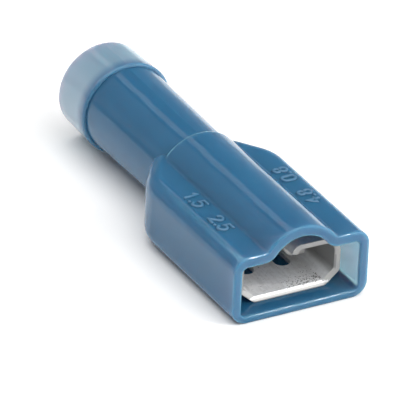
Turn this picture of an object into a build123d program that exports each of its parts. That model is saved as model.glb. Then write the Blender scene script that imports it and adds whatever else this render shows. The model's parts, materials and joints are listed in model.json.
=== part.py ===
from build123d import *
import math
import os

# Fully insulated female spade terminal, in millimetres: a receptacle and crimp barrel folded from one
# sheet, inside a sleeve moulded as one piece. The origin is where the mating tab enters, on the mouth
# plane at the middle of the tab. +Y runs back along the wire, +Z is up, and X = 0 is the plane of symmetry.

# Mating tab and wire
tab_width = 4.75
tab_thickness = 0.8
wire_bore_radius = 1.2
insulation_bore_radius = 2.05

# Folded sheet
sheet = 0.25
receptacle_length = 6.6
corner_width = 0.8
corner_angle = 41
floor_bend_radius = 0.12
wing_height = 2.45
wing_bend_radius = 0.38
roof_slope = 15
roof_width = 1
lip_length = 0.6
curl_setback = 0.95
lip_setback = 1.8
lead_in_height = 0.2
lead_in_depth = 0.15
spring_width = 1.21
spring_slot_width = 0.85
spring_slot_length = 3
spring_slot_setback = 2.2
dimple_radius = 0.45
dimple_height = 0.2
neck_width = 3.2
neck_front_radius = 9
barrel_length = 6.39
barrel_seam = 0.08

# Moulded sleeve
mouth_recess = 1.1
side_wall = 0.5
roof_wall = 0.58
floor_wall = 0.4
shoulder_angle = 35
shoulder_end_width = 3.9
plan_corner_radius = 2.6
underside_edge_radius = 0.85
top_edge_radius = 0.8
cavity_edge_radius = 0.3
mouth_edge_radius = 0.12
hump_radius = 2.4
hump_height = 1.05
hump_setback = 1.33
hump_foot_radius = 0.25
hump_edge_radius = 0.15
sleeve_rise = 2.33
sleeve_wall = 0.8
stop_length = 0.3
stop_lap = 0.07
funnel_offset = 0.1
funnel_length = 2.88
funnel_wall = 0.535
funnel_taper = 0.085
funnel_step = 0.185
funnel_rim_radius = 0.12
funnel_lip_wall = 0.25
funnel_lip_depth = 0.5
funnel_cone_length = 0.9

# Clearances
tab_side_clearance = 0.205
tab_grip = 0.05
fold_side_clearance = 0.52
fold_top_clearance = 0.32
fold_rear_clearance = 1.66
barrel_clearance = 0.03
neck_clearance = 0.1

# Folded sheet: levels and stations that follow from the tab
plate_top = -tab_thickness / 2
plate_bottom = plate_top - sheet
fold_half = tab_width / 2 + tab_side_clearance + sheet
fold_rear = mouth_recess + receptacle_length
floor_outside = floor_bend_radius + sheet
floor_tangent = floor_outside * math.tan(math.radians(corner_angle / 2))
wall_tangent = floor_outside * math.tan(math.radians((90 - corner_angle) / 2))
corner_flat = corner_width / math.cos(math.radians(corner_angle)) - floor_tangent - wall_tangent
wing_outside = wing_bend_radius + sheet
wing_top = plate_bottom + wing_height
lip_bottom = tab_thickness / 2 - tab_grip
slope_sin = math.sin(math.radians(roof_slope))
slope_cos = math.cos(math.radians(roof_slope))
roof_end_height = wing_top - wing_outside * (1 - slope_cos) - roof_width * slope_sin
curl_outside = (roof_end_height - lip_bottom) / (1 + slope_cos)
curl_axis = lip_bottom + curl_outside
curl_middle = fold_half - wing_outside * (1 + slope_sin) - roof_width * slope_cos + curl_outside * slope_sin
curl_inner_edge = curl_middle - curl_outside
lip_end = curl_middle + lip_length

# Sleeve: levels and stations that follow from the folded sheet inside it
underside = plate_bottom - floor_wall
ceiling = wing_top + fold_top_clearance
housing_top = ceiling + roof_wall
housing_height = housing_top - underside
housing_half = fold_half + fold_side_clearance + side_wall
housing_straight = fold_rear + fold_rear_clearance
shoulder_slope = math.tan(math.radians(shoulder_angle))
shoulder_end = housing_straight + (housing_half - shoulder_end_width / 2) / shoulder_slope
cavity_end = shoulder_end - side_wall
hump_axis = housing_top + hump_height - hump_radius
hump_length = shoulder_end - hump_setback
foot_axis_z = housing_top + hump_foot_radius
foot_axis_x = math.sqrt((hump_radius + hump_foot_radius) ** 2 - (foot_axis_z - hump_axis) ** 2)
foot_angle = math.degrees(math.atan2(foot_axis_z - hump_axis, foot_axis_x))

# Barrel, bore and funnel along the sleeve's axis
sleeve_axis = underside + sleeve_rise
barrel_outer_radius = wire_bore_radius + sheet
barrel_front = cavity_end - neck_clearance
barrel_rear = barrel_front + barrel_length
sleeve_bore_radius = barrel_outer_radius + barrel_clearance
sleeve_front_radius = sleeve_bore_radius + sleeve_wall
stop_front = barrel_rear + barrel_clearance
stop_rear = stop_front + stop_length
throat_radius = barrel_outer_radius - stop_lap
cone_rear = stop_rear + funnel_cone_length
funnel_start = stop_rear + funnel_offset
funnel_front_radius = insulation_bore_radius + funnel_wall
funnel_rear_radius = funnel_front_radius - funnel_taper
sleeve_rear_radius = funnel_front_radius - funnel_step
overall_length = funnel_start + funnel_length


def section(station):
    """Cross-section plane at a distance behind the mouth; its normal points back along the wire."""
    return Plane(origin=(0, station, 0), x_dir=(-1, 0, 0), z_dir=(0, 1, 0))


def lengthwise():
    """Plane of symmetry through the sleeve's axis: local x runs back, local y is the radius."""
    return Plane(origin=(0, 0, sleeve_axis), x_dir=(0, 1, 0), z_dir=(1, 0, 0))


def housing_plan(inset, front, rear):
    """Outline of the housing seen from above, moved inwards by a wall, with its sloping shoulders."""
    half = housing_half - inset
    corner = housing_straight - inset * math.tan(math.radians(shoulder_angle / 2))
    rear_half = half - (rear - corner) * shoulder_slope
    with BuildLine() as outline:
        Polyline((0, front), (half, front), (half, corner), (rear_half, rear), (0, rear))
        mirror(about=Plane.YZ)
    return outline.line


def hump_outline(inset):
    """Section of the hump with feet that run out onto the flat top, moved inwards by a wall."""
    with BuildLine() as outline:
        CenterArc((0, hump_axis), hump_radius - inset, foot_angle, 90 - foot_angle)
        foot_radius = hump_foot_radius + inset
        foot = CenterArc((foot_axis_x, foot_axis_z), foot_radius, 180 + foot_angle, 90 - foot_angle)
        Polyline(foot @ 1, (foot_axis_x, hump_axis), (0, hump_axis))
        mirror(about=Plane.YZ)
    return outline.line


def trough(radius, bottom, half_angle):
    """Outline of the sheet bent to an arc about the plane of symmetry, open at the top."""
    with BuildLine() as outline:
        outside = CenterArc((0, bottom + radius), radius, 270 - half_angle, 2 * half_angle)
        inside = CenterArc((0, bottom + radius), radius - sheet, 270 - half_angle, 2 * half_angle)
        Line(outside @ 0, inside @ 0)
        Line(outside @ 1, inside @ 1)
    return outline.line


sleeve_line = Axis((0, 0, sleeve_axis), (0, 1, 0))

# Terminal: floor, slanting corners, walls and sloping wings curled under until their lips grip the tab
with BuildPart() as terminal:
    with BuildSketch(section(mouth_recess)):
        with BuildLine():
            floor = Line((0, plate_bottom), (fold_half - corner_width - floor_tangent, plate_bottom))
            floor_bend = JernArc(floor @ 1, floor % 1, floor_outside, corner_angle)
            corner = Line(floor_bend @ 1, floor_bend @ 1 + (floor_bend % 1) * corner_flat)
            wall_bend = JernArc(corner @ 1, corner % 1, floor_outside, 90 - corner_angle)
            wall = Line(wall_bend @ 1, (fold_half, wing_top - wing_outside))
            wing_bend = JernArc(wall @ 1, wall % 1, wing_outside, 90 + roof_slope)
            roof = Line(wing_bend @ 1, wing_bend @ 1 + (wing_bend % 1) * roof_width)
            curl = JernArc(roof @ 1, roof % 1, curl_outside, 180 - roof_slope)
            Line(curl @ 1, (lip_end, lip_bottom))
            offset(amount=sheet, side=Side.RIGHT)
        make_face()
        mirror(about=Plane.YZ)
    extrude(amount=receptacle_length)

    # Lead-in bevel along the front edge, on the inside of the fold
    front_face = terminal.faces().sort_by(Axis.Y)[0]
    floor_edge = front_face.edges().filter_by(Axis.X).sort_by(Axis.Z)[1]
    chamfer(floor_edge, length=lead_in_depth, length2=lead_in_height)

    # Wings cut back at the front so that the tab meets the floor first and then slides under the lips
    with BuildSketch(Plane.XY.offset(curl_axis)):
        with BuildLine():
            Polyline(
                (fold_half, mouth_recess),
                (curl_inner_edge, mouth_recess + curl_setback),
                (curl_inner_edge, mouth_recess),
                close=True,
            )
        make_face()
        mirror(about=Plane.YZ)
    extrude(amount=wing_top - curl_axis, mode=Mode.SUBTRACT)
    with BuildSketch(Plane.XY.offset(lip_bottom)):
        with BuildLine():
            Polyline(
                (curl_inner_edge, mouth_recess),
                (curl_inner_edge, mouth_recess + lip_setback),
                (lip_end, mouth_recess + lip_setback),
                (lip_end, mouth_recess),
                close=True,
            )
        make_face()
        mirror(about=Plane.YZ)
    extrude(amount=curl_outside, mode=Mode.SUBTRACT)

    # Spring between two slots in the floor, with the dimple that drops into the tab's hole
    slot_middle = mouth_recess + spring_slot_setback + spring_slot_length / 2
    slot_offset = (spring_width + spring_slot_width) / 2
    with BuildSketch(Plane.XY.offset(plate_bottom)):
        with Locations((slot_offset, slot_middle), (-slot_offset, slot_middle)):
            SlotOverall(spring_slot_length, spring_slot_width, rotation=90)
    extrude(amount=sheet, mode=Mode.SUBTRACT)
    dimple_ball = (dimple_radius**2 + dimple_height**2) / (2 * dimple_height)
    dimple_latitude = math.degrees(math.asin(1 - dimple_height / dimple_ball))
    with Locations((0, slot_middle, plate_top - dimple_ball + dimple_height)):
        Sphere(dimple_ball, arc_size1=dimple_latitude, align=None)
    with Locations((0, slot_middle, plate_bottom - dimple_ball + dimple_height)):
        Sphere(dimple_ball, arc_size1=dimple_latitude, align=None, mode=Mode.SUBTRACT)

    # Neck that deepens from a shallow trough behind the floor into the lower half of the barrel
    neck_half_angle = math.degrees(math.asin(neck_width / 2 / neck_front_radius))
    with BuildSketch(section(fold_rear)):
        make_face(trough(neck_front_radius, plate_bottom, neck_half_angle))
    with BuildSketch(section(barrel_front)):
        make_face(trough(barrel_outer_radius, sleeve_axis - barrel_outer_radius, 90))
    loft(ruled=True)

    # Crimp barrel with its butt seam on top
    with BuildSketch(section(barrel_front)):
        with Locations((0, sleeve_axis)):
            Circle(barrel_outer_radius)
            Circle(wire_bore_radius, mode=Mode.SUBTRACT)
            Rectangle(
                barrel_seam,
                2 * barrel_outer_radius,
                align=(Align.CENTER, Align.MIN),
                mode=Mode.SUBTRACT,
            )
    extrude(amount=barrel_length)

# Hollow inside the sleeve: box for the receptacle, arch under the hump, bore, stop, cone and funnel mouth
with BuildPart() as hollow:
    with BuildSketch(Plane.XY.offset(plate_bottom)):
        make_face(housing_plan(side_wall, 0, cavity_end))
    extrude(amount=ceiling - plate_bottom)
    fillet(hollow.faces().sort_by(Axis.Z)[-1].edges().sort_by(Axis.Y)[1:], cavity_edge_radius)
    fillet(hollow.faces().sort_by(Axis.Z)[0].edges().sort_by(Axis.Y)[1:], cavity_edge_radius)
    with BuildSketch(section(0)):
        make_face(hump_outline(roof_wall))
    extrude(amount=hump_length - roof_wall)
    with BuildSketch(lengthwise()):
        with BuildLine():
            Polyline(
                (housing_straight, 0),
                (housing_straight, sleeve_bore_radius),
                (stop_front, sleeve_bore_radius),
                (stop_front, throat_radius),
                (stop_rear, throat_radius),
                (cone_rear, insulation_bore_radius),
                (overall_length - funnel_lip_depth, insulation_bore_radius),
                (overall_length, funnel_rear_radius - funnel_lip_wall),
                (overall_length, 0),
                close=True,
            )
        make_face()
    revolve(axis=sleeve_line)

# Hump: trimmed in plan so that its feet stop where the rounding of the housing's top edge begins
with BuildPart() as hump:
    with BuildSketch(section(0)):
        make_face(hump_outline(0))
    extrude(amount=hump_length)
    with BuildSketch(Plane.XY.offset(hump_axis)):
        make_face(housing_plan(top_edge_radius, 0, hump_length))
    extrude(amount=hump_radius, mode=Mode.INTERSECT)
    fillet(hump.faces().sort_by(Axis.Y)[-1].edges().sort_by(Axis.Z)[1:], hump_edge_radius)

# Insulator: housing block with rounded edges, hump, and round sleeve that widens into the funnel
with BuildPart() as insulator:
    with BuildSketch(Plane.XY.offset(underside)):
        make_face(housing_plan(0, 0, shoulder_end))
    extrude(amount=housing_height)
    fillet(insulator.edges().filter_by(Axis.Z).sort_by(Axis.Y)[2:], plan_corner_radius)
    fillet(insulator.faces().sort_by(Axis.Z)[-1].edges().sort_by(Axis.Y)[1:], top_edge_radius)
    fillet(insulator.faces().sort_by(Axis.Z)[0].edges().sort_by(Axis.Y)[1:], underside_edge_radius)
    add(hump.part)
    with BuildSketch(lengthwise()):
        with BuildLine():
            Polyline(
                (housing_straight, 0),
                (housing_straight, sleeve_front_radius),
                (hump_length, sleeve_front_radius),
                (funnel_start, sleeve_rear_radius),
                (funnel_start, 0),
                close=True,
            )
        make_face()
    revolve(axis=sleeve_line)
    with BuildSketch(lengthwise()) as funnel_profile:
        with BuildLine():
            Polyline(
                (funnel_start, 0),
                (funnel_start, funnel_front_radius),
                (overall_length, funnel_rear_radius),
                (overall_length, 0),
                close=True,
            )
        make_face()
        fillet(funnel_profile.vertices().sort_by(Axis.Y)[-2:], funnel_rim_radius)
    revolve(axis=sleeve_line)
    add(hollow.part, mode=Mode.SUBTRACT)
    fillet(insulator.faces().sort_by(Axis.Y)[0].edges(), mouth_edge_radius)

os.makedirs("parts", exist_ok=True)
terminal.part.label = "terminal"
export_step(terminal.part, "parts/terminal.step")
insulator.part.label = "insulator"
export_step(insulator.part, "parts/insulator.step")
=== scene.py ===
# %% [markdown]
# # An insulated spade terminal in Blender
# The object is a push-on crimp terminal: a receptacle folded from thin tinned sheet, inside a sleeve moulded
# from translucent blue nylon. Its two pieces come ready made from the CAD model, at real size and in metres.
# This lesson gives them their finish, adds the small raised numbers of the mould, and sets up floor, light
# and camera. Nothing here moves or resizes a CAD piece.

# %% Load the frame
import json
import math

import bpy
from mathutils import Matrix, Vector


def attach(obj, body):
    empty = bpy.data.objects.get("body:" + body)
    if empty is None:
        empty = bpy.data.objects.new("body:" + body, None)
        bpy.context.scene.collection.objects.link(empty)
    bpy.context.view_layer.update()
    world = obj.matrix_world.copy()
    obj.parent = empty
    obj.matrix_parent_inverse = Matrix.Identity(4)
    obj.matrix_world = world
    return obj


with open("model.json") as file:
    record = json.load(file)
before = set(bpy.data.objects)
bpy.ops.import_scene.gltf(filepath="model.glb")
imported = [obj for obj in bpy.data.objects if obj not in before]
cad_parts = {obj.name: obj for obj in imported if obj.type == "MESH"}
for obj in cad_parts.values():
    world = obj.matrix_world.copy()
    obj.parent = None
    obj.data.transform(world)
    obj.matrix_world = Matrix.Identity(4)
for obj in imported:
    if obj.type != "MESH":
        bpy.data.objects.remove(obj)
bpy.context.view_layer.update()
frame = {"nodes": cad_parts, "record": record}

MM = 0.001
insulator = frame["nodes"]["insulator"]
terminal = frame["nodes"]["terminal"]
mounts = {mount["name"]: mount for mount in frame["record"]["mounts"]}
underside = mounts["housing_base"]["pos_m"][2]
print("pieces:", sorted(frame["nodes"]), "underside at", round(underside / MM, 3), "mm")

# %% [markdown]
# ## Camera
# A product photograph is usually taken from far away with a long lens, so that edges that are parallel on the
# object stay nearly parallel in the picture. The camera could be aimed with a Track To constraint, but a
# small roll is needed too. So its three axes are worked out from azimuth, elevation and roll, and written
# straight into its matrix. The picture is square, so the sensor's width and the picture's width go together.

# %% Aim the camera
camera_azimuth = math.radians(-30.03)
camera_elevation = math.radians(29.3)
camera_roll = math.radians(2.535)
camera_distance = 342.2 * MM
camera_target = Vector((-0.095 * MM, 10.218 * MM, underside + 1.116 * MM))
picture_side_px = 400
focal_length_px = 6756.7
sensor_mm = 36


def camera_axes(azimuth, elevation, roll):
    """The camera's right, up and backward directions."""
    back = Vector((
        math.sin(azimuth) * math.cos(elevation),
        -math.cos(azimuth) * math.cos(elevation),
        math.sin(elevation),
    ))
    level = Vector((math.cos(azimuth), math.sin(azimuth), 0))
    upright = back.cross(level)
    right = math.cos(roll) * level + math.sin(roll) * upright
    up = math.cos(roll) * upright - math.sin(roll) * level
    return right, up, back


right, up, back = camera_axes(camera_azimuth, camera_elevation, camera_roll)
lens = bpy.data.cameras.new("camera")
lens.sensor_width = sensor_mm
lens.lens = focal_length_px / picture_side_px * sensor_mm
lens.clip_start = 10 * MM
camera = bpy.data.objects.new("camera", lens)
bpy.context.scene.collection.objects.link(camera)
turn = Matrix((right, up, back)).transposed().to_4x4()
camera.matrix_world = Matrix.Translation(camera_target + back * camera_distance) @ turn
bpy.context.scene.camera = camera
print("camera lens", round(lens.lens, 1), "mm at", [round(v, 4) for v in camera.location])

# %% [markdown]
# ## Shader maths
# A material is a graph of nodes, and a long chain of Math nodes is hard to read as code. One small class
# wraps a socket, so that `1 - mask * 0.5` adds the Math nodes by itself. Its `make` method adds every other
# kind of node: settings first, then the values or links of its sockets. Geometry Nodes trees are built with
# it too.

# %% The socket wrapper


class Value:
    """An output socket that can be used in Python expressions."""

    def __init__(self, tree, socket):
        self.tree = tree
        self.socket = socket

    def make(self, kind, settings=None, sockets=None, output=0):
        """Adds a node: settings are set first, then each socket gets its value or link."""
        node = self.tree.nodes.new(kind)
        for name, setting in (settings or {}).items():
            setattr(node, name, setting)
        for name, given in (sockets or {}).items():
            plug(self.tree, node.inputs[name], given)
        return Value(self.tree, node.outputs[output])

    def math(self, operation, *terms):
        return self.make("ShaderNodeMath", {"operation": operation}, dict(enumerate(terms)))

    def __add__(self, other):
        return self.math("ADD", self, other)

    def __sub__(self, other):
        return self.math("SUBTRACT", self, other)

    def __rsub__(self, other):
        return self.math("SUBTRACT", other, self)

    def __mul__(self, other):
        return self.math("MULTIPLY", self, other)

    __radd__ = __add__
    __rmul__ = __mul__

    def between(self, low, high):
        """0 at low, 1 at high, smooth in between."""
        settings = {"interpolation_type": "SMOOTHSTEP"}
        return self.make("ShaderNodeMapRange", settings, {"Value": self, "From Min": low, "From Max": high})

    def tint(self, first, second):
        """A colour that goes from first to second as this value goes from 0 to 1."""
        # Sockets 6 and 7 of a Mix node are its two colours, and output 2 is the mixed one.
        sockets = {"Factor": self, 6: first, 7: second}
        return self.make("ShaderNodeMix", {"data_type": "RGBA"}, sockets, output=2)

    def stretch(self, x, y, z):
        """Coordinates multiplied by a scale of their own along each axis."""
        return self.make("ShaderNodeVectorMath", {"operation": "MULTIPLY"}, {0: self, 1: (x, y, z)})

    def noise(self, scale, detail):
        """A cloudy value around 0.5."""
        return self.make("ShaderNodeTexNoise", None, {"Vector": self, "Scale": scale, "Detail": detail})

    def axes(self):
        """The three coordinates by themselves."""
        first = self.make("ShaderNodeSeparateXYZ", None, {"Vector": self})
        return [Value(self.tree, output) for output in first.socket.node.outputs]


print("a wrapped socket is ready")

# %% Helpers for materials


def plug(tree, socket, given):
    """Links a wrapped socket, or sets a plain value."""
    if isinstance(given, Value):
        tree.links.new(given.socket, socket)
    else:
        socket.default_value = given


def new_finish(name, constants):
    """A material with its Principled shader's constants set, and the wrapped Object coordinates."""
    material = bpy.data.materials.new(name)
    material.use_nodes = True
    tree = material.node_tree
    shader = next(node for node in tree.nodes if node.type == "BSDF_PRINCIPLED")
    for socket, constant in constants.items():
        shader.inputs[socket].default_value = constant
    coordinates = tree.nodes.new("ShaderNodeTexCoord")
    return material, shader, Value(tree, coordinates.outputs["Object"])


def feed(shader, values):
    """Links values that change over the surface to the shader's sockets."""
    for socket, value in values.items():
        plug(shader.id_data, shader.inputs[socket], value)


print("material helpers are ready")

# %% [markdown]
# ## Blue nylon
# The sleeve is nylon with a little blue dye. Light goes into it and comes out again, so thin walls with
# nothing behind them look paler than walls that lie on metal. Glass-like transmission would be too clear.
# Subsurface scattering gives the milky depth of real nylon. The open funnel is painted paler, a painted light
# for the daylight that comes through its thin wall, and painted bluer towards its top, a painted shade where
# less of that light comes through. Two nylon shaders that differ only in how deep the light goes are mixed:
# the deep one shows inside the mouth, where daylight comes through the side walls. Slow clouds in the dye,
# slow waves in the surface and a fine grain keep the moulding from looking painted.

# %% Find where the walls are thin
barrel_length = mounts["wire_barrel"]["dims"]["length_mm"] * MM
barrel_rear = mounts["wire_barrel"]["pos_m"][1] + barrel_length / 2
inner_side = (3.28 * MM, 3.34 * MM)
outer_side = (3.50 * MM, 3.56 * MM)
mouth_start = (0.1 * MM, 0.3 * MM)
mouth_end = (6 * MM, 9 * MM)


def thin_wall(place):
    """1 on the inner faces of the housing's two side walls, which daylight reaches from outside."""
    across, along = place.axes()[:2]
    aside = across.math("ABSOLUTE", across)
    inside = aside.between(*inner_side) * (1 - aside.between(*outer_side))
    return inside * along.between(*mouth_start) * (1 - along.between(*mouth_end))


print("crimp barrel ends", round(barrel_rear / MM, 2), "mm behind the mouth")

# %% Dye the nylon
deep_blue = (0.010, 0.084, 0.174, 1)
cloud_blue = (0.016, 0.101, 0.202, 1)
funnel_glow_blue = (0.24, 0.345, 0.43, 1)
funnel_shaded_top_blue = (0.13, 0.23, 0.30, 1)
funnel_fade = (barrel_rear + 0.38 * MM, barrel_rear + 1.3 * MM)
funnel_shade = (2.5 * MM, 4.0 * MM)
cloud_scale = 400
wave_scale = 700
wave_height = 0.08 * MM
wave_strength = 0.3
grain_scale = 2500
grain_share = 0.02
smooth_skin = 0.07
grain_roughness = 0.05


def dress_nylon(shader, place):
    """Dye, the funnel's painted light and shade, and the skin of the moulding, the same on every nylon
    shader.
    """
    along, height = place.axes()[1:]
    dye = place.noise(cloud_scale, 2).tint(deep_blue, cloud_blue)
    # The funnel's pale colour is painted light for daylight coming through its thin wall, and its bluer top
    # is painted shade.
    funnel_painted_light = height.between(*funnel_shade).tint(funnel_glow_blue, funnel_shaded_top_blue)
    open_wall = along.between(*funnel_fade)
    grain = place.noise(grain_scale, 3)
    waves = place.noise(wave_scale, 1) + grain * grain_share
    bump = {"Strength": wave_strength, "Distance": wave_height, "Height": waves}
    feed(shader, {
        "Base Color": open_wall.tint(dye, funnel_painted_light),
        "Roughness": smooth_skin + grain * grain_roughness,
        "Normal": place.make("ShaderNodeBump", None, bump),
    })


# The funnel's paler colour printed here is painted light, not a weaker dye.
print("the funnel's paler dye starts", round(funnel_fade[0] / MM, 2), "mm behind the mouth")

# %% Let light into the nylon
nylon_ior = 1.43
skin_depth = 0.22 * MM
skin_colours = (0.80, 0.60, 0.85)
wall_depth = 1.15 * MM
wall_colours = (1.0, 0.42, 0.58)


def scattered(shader, depth, colours):
    """Light goes this deep into the shader's surface, each of red, green and blue by its own share."""
    shader.subsurface_method = "RANDOM_WALK_SKIN"
    shader.inputs["IOR"].default_value = nylon_ior
    shader.inputs["Subsurface Weight"].default_value = 1.0
    shader.inputs["Subsurface Radius"].default_value = colours
    shader.inputs["Subsurface Scale"].default_value = depth


def nylon_finish():
    """A shallow and a deep nylon shader, mixed by where the walls are thin."""
    material, shader, place = new_finish("blue_nylon", {})
    deep_shader = material.node_tree.nodes.new("ShaderNodeBsdfPrincipled")
    scattered(shader, skin_depth, skin_colours)
    scattered(deep_shader, wall_depth, wall_colours)
    nylons = []
    for nylon_shader in (shader, deep_shader):
        dress_nylon(nylon_shader, place)
        nylons.append(Value(material.node_tree, nylon_shader.outputs["BSDF"]))
    sockets = {"Fac": thin_wall(place), 1: nylons[0], 2: nylons[1]}
    mixed = place.make("ShaderNodeMixShader", None, sockets)
    output = next(node for node in material.node_tree.nodes if node.type == "OUTPUT_MATERIAL")
    plug(material.node_tree, output.inputs["Surface"], mixed)
    return material


nylon = nylon_finish()
insulator.data.materials.clear()
insulator.data.materials.append(nylon)
print("nylon on", insulator.name)

# %% [markdown]
# ## Tinned sheet
# The receptacle is stamped from brass strip with a dull coat of tin, so it is a soft grey mirror with fine
# rolling marks along the strip. A fully metallic shader would show nothing but the dark inside of the sleeve,
# and real tin is too matt for that, so part of its light is scattered like paint. Noise stretched along the
# strip draws the rolling marks, and a second noise opens small dull pits. Where the strip was cut, its edge
# is greyer. The inner side walls are painted darker, a painted shade for the little light that reaches them.
# All of these could be painted on a picture, but masks from the piece's own coordinates stay sharp at any
# size.

# %% Find the cut edges
plate_top = -0.40 * MM
fold_front = 1.10 * MM
fold_half = 2.83 * MM
bevel_end = (1.24 * MM, 1.26 * MM)
wall_foot = (0.0 * MM, 0.2 * MM)
wall_middle = (2.66 * MM, 2.70 * MM)
wing_slant = 0.4318
wing_foot = (0.90 * MM, 0.945 * MM)
lip_front = 2.90 * MM
lip_side = (1.85 * MM, 1.95 * MM)
lip_foot = (0.30 * MM, 0.35 * MM)
lip_top = (0.945 * MM, 0.98 * MM)
cut_depth = (0.02 * MM, 0.05 * MM)
bevel_middle = (plate_top - 0.13 * MM, plate_top - 0.07 * MM)
bevel_top = (plate_top, plate_top + 0.04 * MM)


def cut_edges(place):
    """1 on the cut edges of fold, wings and lips, but not on the bright upper half of the floor's bevel."""
    across, along, height = place.axes()
    aside = across.math("ABSOLUTE", across)
    worn = height.between(*wall_foot) * (1 - aside.between(*wall_middle))
    on_fold = (1 - along.between(*bevel_end)) * (1 - worn)
    wing_front = fold_front + (fold_half - aside) * wing_slant
    on_wing = height.between(*wing_foot) * (1 - (along - wing_front).between(*cut_depth))
    on_lip = height.between(*lip_foot) * (1 - height.between(*lip_top)) * (1 - aside.between(*lip_side))
    on_lip = on_lip * (1 - (along - lip_front).between(*cut_depth))
    edges = on_fold.math("MAXIMUM", on_fold, on_wing)
    edges = edges.math("MAXIMUM", edges, on_lip)
    bright_bevel = height.between(*bevel_middle) * (1 - height.between(*bevel_top))
    return edges * (1 - bright_bevel)


print("the sheet's front edge lies", round(fold_front / MM, 2), "mm behind the mouth")

# %% Find the painted wall shade and the pits
inner_wall = (2.2 * MM, 2.45 * MM)
wall_shade_rise = (plate_top, 0.3 * MM)
under_plate = (plate_top - 0.07 * MM, plate_top - 0.03 * MM)
over_plate = (plate_top + 0.02 * MM, plate_top + 0.06 * MM)
worn_across = (-0.5 * MM, 0.8 * MM)
worn_along = (1.6 * MM, 2.6 * MM)
worn_extra = 0.14
pit_scale = 11000
pit_limits = (0.66, 0.76)


def inner_wall_painted_shade(place):
    """1 on the inner faces of the two side walls, where shade is painted."""
    across, height = place.axes()[::2]
    aside = across.math("ABSOLUTE", across)
    inner_face = aside.between(*inner_wall) * (1 - aside.between(*wall_middle))
    return inner_face * height.between(*wall_shade_rise)


def floor_pits(place):
    """1 in the small pits on top of the floor plate, most of them at the front on the right."""
    across, along, height = place.axes()
    on_plate = height.between(*under_plate) * (1 - height.between(*over_plate))
    worn_patch = across.between(*worn_across) * (1 - along.between(*worn_along))
    return (place.noise(pit_scale, 2) + worn_patch * worn_extra).between(*pit_limits) * on_plate


print("pits lie on the plate at", round(plate_top / MM, 2), "mm")

# %% Make the tinned finish
bright_tin = (1.0, 1.0, 0.995, 1)
dull_tin = (0.86, 0.855, 0.845, 1)
pit_grey = (0.20, 0.19, 0.18, 1)
edge_grey = (0.47, 0.465, 0.45, 1)
wall_shade_grey = (0.30, 0.295, 0.285, 1)
tin_metallic = 0.35
tin_roughness = 0.36
along_strip = (1, 0.12, 1)
rolling_scale = 6000
rolling_roughness = 0.14
rolling_depth = 0.01 * MM
rolling_strength = 0.1
mottle_scale = 4000
mottle_share = 0.5
mottle_limits = (0.36, 0.60)


def tinned_finish():
    """Mottled tin with rolling marks, pits, painted shade on the inner walls and grey cut edges."""
    material, shader, place = new_finish("tinned_sheet", {"Metallic": tin_metallic})
    rolled = place.stretch(*along_strip).noise(rolling_scale, 3)
    cloudy = rolled * (1 - mottle_share) + place.noise(mottle_scale, 3) * mottle_share
    tin = cloudy.between(*mottle_limits).tint(dull_tin, bright_tin)
    tin = floor_pits(place).tint(tin, pit_grey)
    # Painted shade: the inner side walls are darkened where little light reaches them.
    tin = inner_wall_painted_shade(place).tint(tin, wall_shade_grey)
    bump = {"Strength": rolling_strength, "Distance": rolling_depth, "Height": rolled}
    feed(shader, {
        "Base Color": cut_edges(place).tint(tin, edge_grey),
        "Roughness": tin_roughness + rolled * rolling_roughness,
        "Normal": place.make("ShaderNodeBump", None, bump),
    })
    return material


tinned = tinned_finish()
terminal.data.materials.clear()
terminal.data.materials.append(tinned)
print("tinned sheet on", terminal.name)

# %% [markdown]
# ## Raised numbers
# The mould leaves small raised numbers on the two flats beside the hump: plain sizes of wire and tab.
# Blender's text object could make them, but a mould cutter engraves them with a round tool, so each digit is
# a few strokes of one width with round ends. The strokes are plain lines and arcs. A Geometry Nodes tree
# turns every line into a round bead and puts a ball at each open end.

# %% Draw the digits as strokes
arc_points = 13


def arc(centre, radius, first, last):
    """Points along a circle between two angles in degrees."""
    angles = [math.radians(first + (last - first) * i / (arc_points - 1)) for i in range(arc_points)]
    return [(centre[0] + radius * math.cos(a), centre[1] + radius * math.sin(a)) for a in angles]


# Strokes in a cell that is 0.6 wide and 1 high.
digit_strokes = {
    "0": [arc((0.3, 0.7), 0.3, 0, 180) + arc((0.3, 0.3), 0.3, 180, 360) + [(0.6, 0.7)]],
    "1": [[(0.12, 0.78), (0.36, 1), (0.36, 0)]],
    "2": [arc((0.3, 0.7), 0.3, 170, -40) + [(0, 0), (0.6, 0)]],
    "4": [[(0.44, 0), (0.44, 1), (0, 0.3), (0.62, 0.3)]],
    "5": [[(0.55, 1), (0.1, 1), (0.05, 0.55)] + arc((0.28, 0.33), 0.33, 125, -150)],
    "8": [arc((0.3, 0.77), 0.23, 90, 450), arc((0.3, 0.27), 0.27, 90, 450)],
    ".": [[(0.1, 0), (0.1, 0.03)]],
}
digit_advance = {".": 0.38}
usual_advance = 0.86


def number_strokes(text, start, reading, upright, height):
    """The strokes of a number, laid from start along reading with its top towards upright."""
    strokes = []
    cursor = 0
    for character in text:
        for stroke in digit_strokes[character]:
            strokes.append([start + height * ((cursor + u) * reading + v * upright) for u, v in stroke])
        cursor += digit_advance.get(character, usual_advance)
    return strokes


print("digits:", " ".join(digit_strokes))

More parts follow.
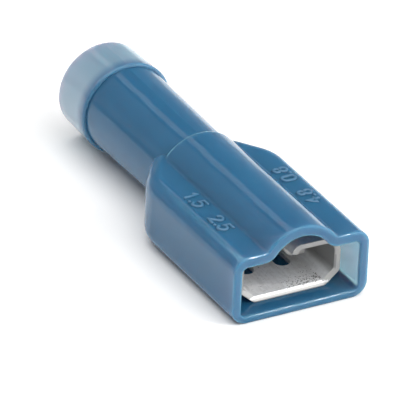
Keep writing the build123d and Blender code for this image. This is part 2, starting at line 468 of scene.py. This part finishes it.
# %% Place the numbers on the flats
beside_hump = 2.4 * MM
housing_top = max(v.co.z for v in insulator.data.vertices if abs(v.co.x) > beside_hump)
number_height = 0.72 * MM
stroke_radius = 0.09 * MM
relief = 0.09 * MM
bead_level = housing_top + relief - stroke_radius
flat_foot = 2.3 * MM
left_edge = -flat_foot - number_height
rearward = Vector((0, 1, 0))
outward = Vector((1, 0, 0))
strokes = (
    number_strokes("1.5", Vector((left_edge, 6.9 * MM, bead_level)), -rearward, outward, number_height)
    + number_strokes("2.5", Vector((left_edge, 4.3 * MM, bead_level)), -rearward, outward, number_height)
    + number_strokes("4.8", Vector((-left_edge, 3.5 * MM, bead_level)), rearward, -outward, number_height)
    + number_strokes("0.8", Vector((-left_edge, 6.0 * MM, bead_level)), rearward, -outward, number_height)
)
points = [point for stroke in strokes for point in stroke]
edges = []
for stroke in strokes:
    first = edges[-1][1] + 1 if edges else 0
    edges += [(first + i, first + i + 1) for i in range(len(stroke) - 1)]
numbers_mesh = bpy.data.meshes.new("raised_numbers")
numbers_mesh.from_pydata(points, edges, [])
numbers = bpy.data.objects.new("raised_numbers", numbers_mesh)
bpy.context.scene.collection.objects.link(numbers)
print("number strokes:", len(strokes), "points:", len(points))

# %% Build the bead tree
bead_sides = 10
ball_steps = 2


def bead_tree():
    """A Geometry Nodes tree that turns edges into round beads with ball ends."""
    tree = bpy.data.node_groups.new("bead_strokes", "GeometryNodeTree")
    sockets = {}
    for name, kind in (
        ("Strokes", "NodeSocketGeometry"),
        ("Bead Radius", "NodeSocketFloat"),
        ("Finish", "NodeSocketMaterial"),
    ):
        sockets[name] = tree.interface.new_socket(name, in_out="INPUT", socket_type=kind).identifier
    tree.interface.new_socket("Beads", in_out="OUTPUT", socket_type="NodeSocketGeometry")
    given = tree.nodes.new("NodeGroupInput")
    strokes, radius, finish = [Value(tree, output) for output in given.outputs[:3]]
    lines = strokes.make("GeometryNodeMeshToCurve", None, {"Mesh": strokes})
    circle = {"Resolution": bead_sides, "Radius": radius}
    section = radius.make("GeometryNodeCurvePrimitiveCircle", None, circle)
    tubes = lines.make("GeometryNodeCurveToMesh", None, {"Curve": lines, "Profile Curve": section})
    ball = radius.make("GeometryNodeMeshIcoSphere", None, {"Radius": radius, "Subdivisions": ball_steps})
    ends = lines.make("GeometryNodeCurveEndpointSelection")
    placed = {"Points": lines, "Selection": ends, "Instance": ball}
    balls = lines.make("GeometryNodeInstanceOnPoints", None, placed)
    joined = tree.nodes.new("GeometryNodeJoinGeometry")
    for part in (balls, tubes):
        tree.links.new(part.socket, joined.inputs[0])
    both = Value(tree, joined.outputs[0])
    real = both.make("GeometryNodeRealizeInstances", None, {"Geometry": both})
    smooth = real.make("GeometryNodeSetShadeSmooth", None, {"Geometry": real})
    dressed = smooth.make("GeometryNodeSetMaterial", None, {"Geometry": smooth, "Material": finish})
    tree.links.new(dressed.socket, tree.nodes.new("NodeGroupOutput").inputs[0])
    return tree, sockets


tree, sockets = bead_tree()
print("bead tree:", len(tree.nodes), "nodes")

# %% Turn the strokes into beads
# The numbers' paler colour is a painted highlight for the glints on their raised strokes.
number_highlight_blue = (0.08, 0.20, 0.32, 1)
bead_ior = 1.5
smooth_bead = 0.08
bead_roughness = 0.06
number_nylon, number_shader, number_place = new_finish("number_nylon", {"IOR": bead_ior})
feed(number_shader, {
    "Base Color": number_place.noise(cloud_scale, 2).tint(cloud_blue, number_highlight_blue),
    "Roughness": smooth_bead + number_place.noise(grain_scale, 3) * bead_roughness,
})
beads = numbers.modifiers.new("beads", "NODES")
beads.node_group = tree
beads[sockets["Bead Radius"]] = stroke_radius
beads[sockets["Finish"]] = number_nylon
bpy.context.view_layer.update()
beaded = numbers.evaluated_get(bpy.context.evaluated_depsgraph_get())
solid = bpy.data.meshes.new_from_object(beaded)
numbers.modifiers.remove(beads)
numbers.data = solid
solid.name = "raised_numbers_solid"
solid.materials.clear()
solid.materials.append(number_nylon)
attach(numbers, "root")
print("raised numbers:", len(solid.polygons), "faces in", number_nylon.name)

# %% [markdown]
# ## Floor
# The funnel reaches a little lower than the housing, so the terminal leans: it touches a table with the front
# edge of its housing and the lowest point of its funnel. The object itself stays where the CAD put it, and
# the floor takes the small slope instead. A plane could be turned by an angle, but with the slope worked out
# from the two contacts it meets both of them. It is plain matt paper.

# %% Lay the floor
corners_of_sleeve = [vertex.co for vertex in insulator.data.vertices]
rear_contact = min(corners_of_sleeve, key=lambda point: point.z)
flat_reach = 5 * MM
level_slack = 0.001 * MM
flat_points = [p for p in corners_of_sleeve if p.z < underside + level_slack and p.y < flat_reach]
front_contact = min(flat_points, key=lambda point: point.y)
floor_slope = (rear_contact.z - front_contact.z) / (rear_contact.y - front_contact.y)
floor_reach = 600 * MM


def floor_height(y):
    return front_contact.z + (y - front_contact.y) * floor_slope


outline = [
    (-floor_reach, -floor_reach),
    (floor_reach, -floor_reach),
    (floor_reach, floor_reach),
    (-floor_reach, floor_reach),
]
floor_mesh = bpy.data.meshes.new("floor")
floor_mesh.from_pydata([(x, y, floor_height(y)) for x, y in outline], [], [(0, 1, 2, 3)])
floor = bpy.data.objects.new("floor", floor_mesh)
bpy.context.scene.collection.objects.link(floor)
soft_white = (0.93, 0.93, 0.93, 1)
full_white = (0.95, 0.95, 0.95, 1)
paper_scale = 300
matt = {"Roughness": 1.0, "Specular IOR Level": 0.0}
paper, paper_shader, paper_place = new_finish("floor_paper", matt)
feed(paper_shader, {"Base Color": paper_place.noise(paper_scale, 2).tint(soft_white, full_white)})
floor_mesh.materials.append(paper)
print("floor slope", round(math.degrees(math.atan(floor_slope)), 2), "degrees")

# %% [markdown]
# ## Light
# Product pictures are taken in a light tent, whose walls are brighter low down, where the lit floor curves
# up, than overhead. The world does the same: its colour follows the height of the direction that a ray goes
# to. A large softbox hangs overhead. One in front on the right leaves the soft shadow on the left, another in
# front reaches into the mouth, and a small one behind draws the streak along the hump. A faint one behind on
# the left gives hump and barrel a soft sheen. The smallest, a spark in front on the right, draws the fine
# glints on the rounded edges. A picture of a studio could light the scene too, but each panel can be placed
# by itself.

# %% Set the tent
world = bpy.data.worlds.new("studio")
bpy.context.scene.world = world
world.use_nodes = True
surround = world.node_tree.nodes["Background"]
direction = world.node_tree.nodes.new("ShaderNodeTexCoord").outputs["Generated"]
climb = Value(world.node_tree, direction).axes()[2]
tent_low = (0.62, 0.62, 0.62, 1)
tent_high = (0.26, 0.26, 0.26, 1)
tent_fade = (-0.05, 0.45)
plug(world.node_tree, surround.inputs["Color"], climb.between(*tent_fade).tint(tent_low, tent_high))
bpy.context.scene.view_settings.view_transform = "Standard"
print("tent from", tent_low[0], "at the floor to", tent_high[0], "overhead")

# %% Set the panels


def panel(name, place, facing, width, height, watts):
    """A rectangular area light at a place, turned to face a direction."""
    light = bpy.data.lights.new(name, "AREA")
    light.shape = "RECTANGLE"
    light.size = width
    light.size_y = height
    light.energy = watts
    lamp = bpy.data.objects.new(name, light)
    bpy.context.scene.collection.objects.link(lamp)
    lamp.location = place
    lamp.rotation_euler = Vector(facing).to_track_quat("-Z", "Y").to_euler()


panel("top_panel", (-0.08, -0.05, 0.5), (0, 0, -1), 0.6, 1.1, 3.6)
panel("right_panel", (0.40, -0.22, 0.23), (-0.80, 0.44, -0.46), 0.4, 0.4, 1.3)
panel("front_panel", (0.10, -0.37, 0.33), (-0.2, 0.73, -0.66), 0.35, 0.3, 0.7)
panel("rear_panel", (0.05, 0.52, 0.44), (-0.07, -0.755, -0.65), 0.11, 0.16, 0.055)
panel("left_panel", (-0.31, 0.47, 0.28), (0.489, -0.755, -0.436), 0.5, 0.4, 0.25)
panel("spark_panel", (0.26, -0.29, 0.45), (-0.436, 0.489, -0.755), 0.02, 0.02, 0.70)
